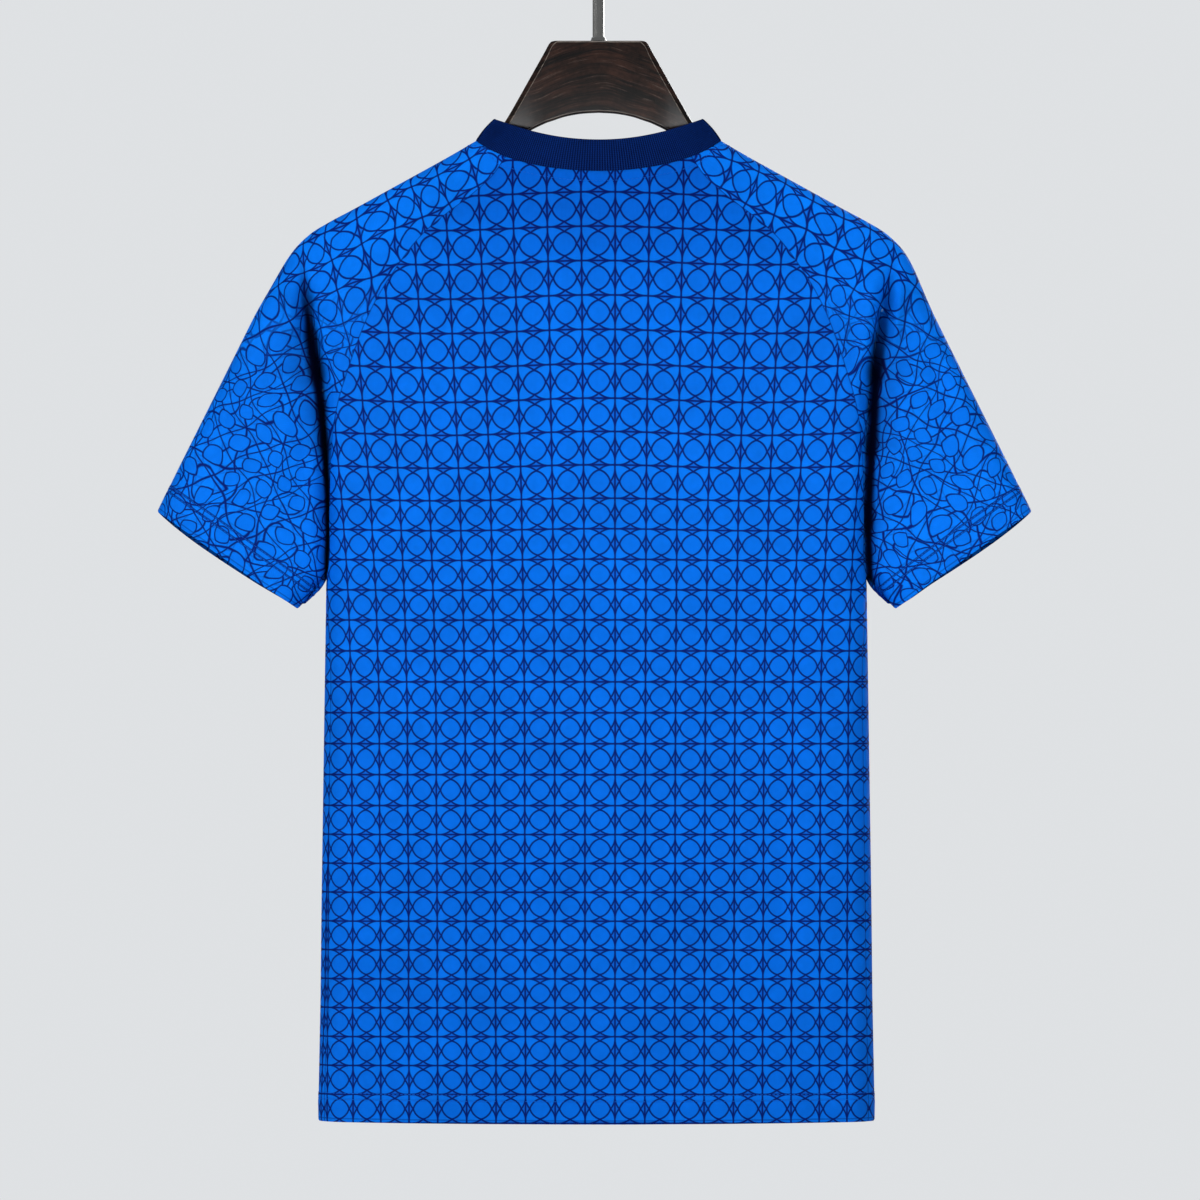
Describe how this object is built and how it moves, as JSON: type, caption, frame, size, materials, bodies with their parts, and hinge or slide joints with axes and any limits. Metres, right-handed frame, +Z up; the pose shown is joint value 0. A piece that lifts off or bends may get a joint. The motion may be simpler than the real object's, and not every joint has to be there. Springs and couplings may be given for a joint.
{
  "type": "pre-match jersey on a wooden hanger",
  "caption": "Short-sleeved raglan football jersey with a ribbed crew collar and an overlapping-circles print, hung flat on a wooden hanger with a wire hook.",
  "frame": {"origin": "seat of the hanger's hook, the inside top of its crook, where a rail carries the part", "axes": "+Z up, the wearer's back faces -Y and the front +Y, X along the hanger's bar"},
  "size_m": [0.6482, 0.0684, 0.9037],
  "materials": {
    "print_cloth": "smooth polyester jersey with a navy line print",
    "rib_knit": "fine navy rib",
    "dark_wood": "dark brown satin varnish",
    "hook_chrome": "polished"
  },
  "bodies": {
    "root": {"back_panel": "print_cloth", "front_panel": "print_cloth", "left_sleeve": "print_cloth", "right_sleeve": "print_cloth", "collar_rib": "rib_knit", "hanger_bar": "dark_wood", "hanger_ferrule": "hook_chrome", "hanger_hook": "hook_chrome"}
  },
  "joints": []
}
